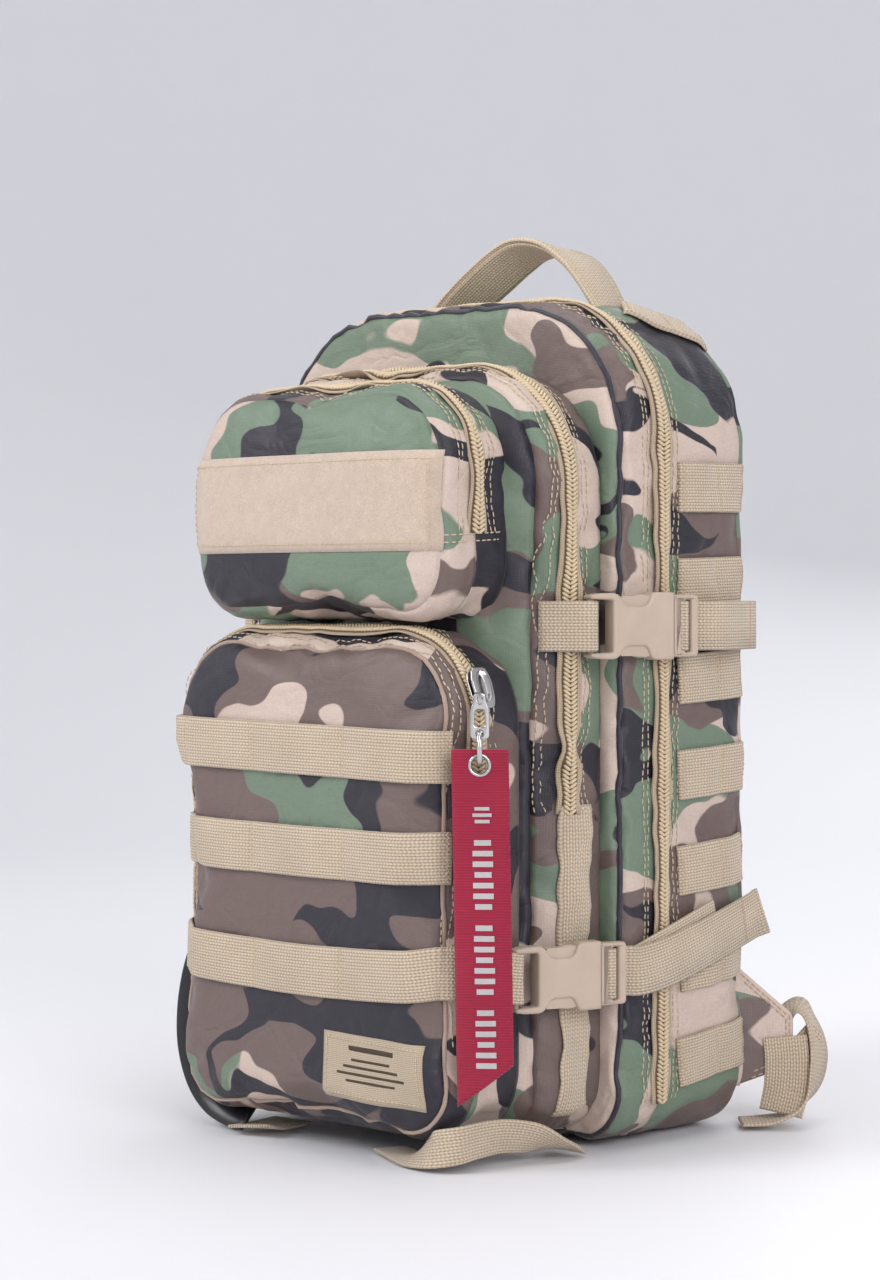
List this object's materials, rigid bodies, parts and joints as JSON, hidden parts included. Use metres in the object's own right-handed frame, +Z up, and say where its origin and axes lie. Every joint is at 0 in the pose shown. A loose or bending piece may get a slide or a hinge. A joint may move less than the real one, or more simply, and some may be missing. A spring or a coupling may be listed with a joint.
{
  "type": "hunting backpack",
  "caption": "Camouflage daypack with zipped compartments, front pockets, rows of sewn webbing, side release buckles, carry handle and shoulder straps.",
  "frame": {"origin": "centre of the flat bottom of the main compartment, midway across the bag", "axes": "+X to the right as the front is faced, +Y towards the wearer's back, +Z up"},
  "size_m": [0.2976, 0.2464, 0.4598],
  "materials": {
    "camo_cloth": "coated plain weave nylon printed in four colour woodland camouflage, soft sheen, topstitched",
    "webbing": "ribbed tan polypropylene webbing, matt, with bar tacks",
    "zip_tape": "tan woven tape with a nylon coil",
    "buckle_plastic": "moulded tan acetal, satin",
    "bright_metal": "bright nickel plate",
    "dark_metal": "dark bronze enamel",
    "tag_cloth": null,
    "air_mesh": "open spacer mesh over foam"
  },
  "bodies": {
    "root": {"rear_gusset": "camo_cloth", "main_front_panel": "camo_cloth", "main_zipper": "zip_tape", "back_pad": "air_mesh", "middle_front_panel": "camo_cloth", "middle_zipper": "zip_tape", "middle_gusset": "camo_cloth", "upper_pocket_gusset": "camo_cloth", "upper_zipper": "zip_tape", "upper_pocket_base": "camo_cloth", "lower_pocket_gusset": "camo_cloth", "lower_zipper": "zip_tape", "lower_pocket_front": "camo_cloth", "web_row_top": "webbing", "web_row_middle": "webbing", "web_row_bottom": "webbing", "upper_front_strap_right": "webbing", "upper_rear_strap_right": "webbing", "lower_rear_strap_right": "webbing", "side_webbing_right": "webbing", "adjuster_web_right": "webbing", "corner_tab_right": "camo_cloth", "upper_right_socket": "buckle_plastic", "lower_right_socket": "buckle_plastic", "upper_front_strap_left": "webbing", "upper_rear_strap_left": "webbing", "lower_rear_strap_left": "webbing", "side_webbing_left": "webbing", "adjuster_web_left": "webbing", "corner_tab_left": "camo_cloth", "upper_left_socket": "buckle_plastic", "lower_left_socket": "buckle_plastic"},
    "upper_pocket_flap": {"upper_pocket_flap": "camo_cloth"},
    "handle": {"carry_handle": "webbing"},
    "shoulder_right": {"shoulder_strap_right": "camo_cloth", "ladder_lock_right": "buckle_plastic"},
    "upper_right_plug": {"upper_right_plug": "buckle_plastic"},
    "upper_right_prong_top": {"upper_right_prong_top": "buckle_plastic"},
    "upper_right_prong_bottom": {"upper_right_prong_bottom": "buckle_plastic"},
    "lower_right_plug": {"lower_right_plug": "buckle_plastic"},
    "lower_right_prong_top": {"lower_right_prong_top": "buckle_plastic"},
    "lower_right_prong_bottom": {"lower_right_prong_bottom": "buckle_plastic"},
    "shoulder_left": {"shoulder_strap_left": "camo_cloth", "ladder_lock_left": "buckle_plastic"},
    "upper_left_plug": {"upper_left_plug": "buckle_plastic"},
    "upper_left_prong_top": {"upper_left_prong_top": "buckle_plastic"},
    "upper_left_prong_bottom": {"upper_left_prong_bottom": "buckle_plastic"},
    "lower_left_plug": {"lower_left_plug": "buckle_plastic"},
    "lower_left_prong_top": {"lower_left_prong_top": "buckle_plastic"},
    "lower_left_prong_bottom": {"lower_left_prong_bottom": "buckle_plastic"},
    "main_slider": {"main_slider": "dark_metal"},
    "main_pull": {"main_pull": "dark_metal"},
    "middle_slider": {"middle_slider": "dark_metal"},
    "middle_pull": {"middle_pull": "dark_metal"},
    "upper_slider": {"upper_slider": "dark_metal"},
    "upper_pull": {"upper_pull": "dark_metal"},
    "lower_slider": {"lower_slider": "bright_metal"},
    "lower_pull": {"lower_pull": "bright_metal"},
    "tag_ring": {"tag_ring": "bright_metal"},
    "tag": {"tag": "tag_cloth"}
  },
  "joints": [
    {"name": "upper_pocket_opening", "type": "hinge", "parent": "root", "child": "upper_pocket_flap", "pos_m": [0, -0.108, 0.29], "axis": [1, 0, 0], "range_deg": [0, 70]},
    {"name": "handle_fold", "type": "hinge", "parent": "root", "child": "handle", "pos_m": [0, 0.05, 0.43], "axis": [1, 0, 0], "range_deg": [-40, 40], "stiffness_Nm_per_rad": 0.05},
    {"name": "shoulder_swing_right", "type": "hinge", "parent": "root", "child": "shoulder_right", "pos_m": [0.05, 0.099, 0.395], "axis": [1, 0, 0], "range_deg": [0, 20]},
    {"name": "shoulder_swing_left", "type": "hinge", "parent": "root", "child": "shoulder_left", "pos_m": [-0.05, 0.099, 0.395], "axis": [1, 0, 0], "range_deg": [0, 20]},
    {"name": "upper_right_release", "type": "slide", "parent": "root", "child": "upper_right_plug", "axis": [0.2924, 0.9563, 0], "range_m": [0, 0.024]},
    {"name": "upper_right_press_top", "type": "hinge", "parent": "upper_right_plug", "child": "upper_right_prong_top", "pos_m": [0.13024, 0.01466, 0.267], "axis": [0.9563, -0.2924, 0], "range_deg": [0, 8], "stiffness_Nm_per_rad": 0.5},
    {"name": "upper_right_press_bottom", "type": "hinge", "parent": "upper_right_plug", "child": "upper_right_prong_bottom", "pos_m": [0.13024, 0.01466, 0.251], "axis": [0.9563, -0.2924, 0], "range_deg": [-8, 0], "stiffness_Nm_per_rad": 0.5},
    {"name": "upper_left_release", "type": "slide", "parent": "root", "child": "upper_left_plug", "axis": [-0.2924, 0.9563, 0], "range_m": [0, 0.024]},
    {"name": "upper_left_press_top", "type": "hinge", "parent": "upper_left_plug", "child": "upper_left_prong_top", "pos_m": [-0.13024, 0.01466, 0.267], "axis": [0.9563, 0.2924, 0], "range_deg": [0, 8], "stiffness_Nm_per_rad": 0.5},
    {"name": "upper_left_press_bottom", "type": "hinge", "parent": "upper_left_plug", "child": "upper_left_prong_bottom", "pos_m": [-0.13024, 0.01466, 0.251], "axis": [0.9563, 0.2924, 0], "range_deg": [-8, 0], "stiffness_Nm_per_rad": 0.5},
    {"name": "lower_right_release", "type": "slide", "parent": "root", "child": "lower_right_plug", "axis": [0.2924, 0.9563, 0], "range_m": [0, 0.024]},
    {"name": "lower_right_press_top", "type": "hinge", "parent": "lower_right_plug", "child": "lower_right_prong_top", "pos_m": [0.11824, -0.02734, 0.098], "axis": [0.9563, -0.2924, 0], "range_deg": [0, 8], "stiffness_Nm_per_rad": 0.5},
    {"name": "lower_right_press_bottom", "type": "hinge", "parent": "lower_right_plug", "child": "lower_right_prong_bottom", "pos_m": [0.11824, -0.02734, 0.082], "axis": [0.9563, -0.2924, 0], "range_deg": [-8, 0], "stiffness_Nm_per_rad": 0.5},
    {"name": "lower_left_release", "type": "slide", "parent": "root", "child": "lower_left_plug", "axis": [-0.2924, 0.9563, 0], "range_m": [0, 0.024]},
    {"name": "lower_left_press_top", "type": "hinge", "parent": "lower_left_plug", "child": "lower_left_prong_top", "pos_m": [-0.11824, -0.02734, 0.098], "axis": [0.9563, 0.2924, 0], "range_deg": [0, 8], "stiffness_Nm_per_rad": 0.5},
    {"name": "lower_left_press_bottom", "type": "hinge", "parent": "lower_left_plug", "child": "lower_left_prong_bottom", "pos_m": [-0.11824, -0.02734, 0.082], "axis": [0.9563, 0.2924, 0], "range_deg": [-8, 0], "stiffness_Nm_per_rad": 0.5},
    {"name": "main_zip", "type": "slide", "parent": "root", "child": "main_slider", "axis": [0, 0, 1], "range_m": [0, 0.075]},
    {"name": "main_pull_lift", "type": "hinge", "parent": "main_slider", "child": "main_pull", "pos_m": [-0.1304, 0.0189, 0.145], "axis": [0, 1, 0], "range_deg": [0, 120]},
    {"name": "middle_zip", "type": "slide", "parent": "root", "child": "middle_slider", "axis": [0, 0, 1], "range_m": [0, 0.055]},
    {"name": "middle_pull_lift", "type": "hinge", "parent": "middle_slider", "child": "middle_pull", "pos_m": [-0.1174, -0.0351, 0.18], "axis": [0, 1, 0], "range_deg": [0, 120]},
    {"name": "upper_zip", "type": "slide", "parent": "root", "child": "upper_slider", "axis": [0, 0, 1], "range_m": [0, 0.018]},
    {"name": "upper_pull_lift", "type": "hinge", "parent": "upper_slider", "child": "upper_pull", "pos_m": [-0.0984, -0.0811, 0.315], "axis": [0, 1, 0], "range_deg": [0, 120]},
    {"name": "lower_zip", "type": "hinge", "parent": "root", "child": "lower_slider", "pos_m": [0.052, -0.09, 0.213], "axis": [0, -1, 0], "range_deg": [0, 35]},
    {"name": "lower_pull_lift", "type": "hinge", "parent": "lower_slider", "child": "lower_pull", "pos_m": [0.107, -0.101, 0.2269], "axis": [-0.7431, -0.6691, 0], "range_deg": [0, 60]},
    {"name": "ring_swing", "type": "hinge", "parent": "lower_pull", "child": "tag_ring", "pos_m": [0.107, -0.101, 0.2103], "axis": [-0.7431, -0.6691, 0], "range_deg": [0, 35]},
    {"name": "tag_swing", "type": "hinge", "parent": "tag_ring", "child": "tag", "pos_m": [0.107, -0.101, 0.1943], "axis": [-0.7431, -0.6691, 0], "range_deg": [0, 45]}
  ],
  "couplings": [
    {"joint": "upper_right_press_bottom", "follows": "upper_right_press_top", "ratio": -1},
    {"joint": "upper_left_press_bottom", "follows": "upper_left_press_top", "ratio": -1},
    {"joint": "lower_right_press_bottom", "follows": "lower_right_press_top", "ratio": -1},
    {"joint": "lower_left_press_bottom", "follows": "lower_left_press_top", "ratio": -1}
  ]
}
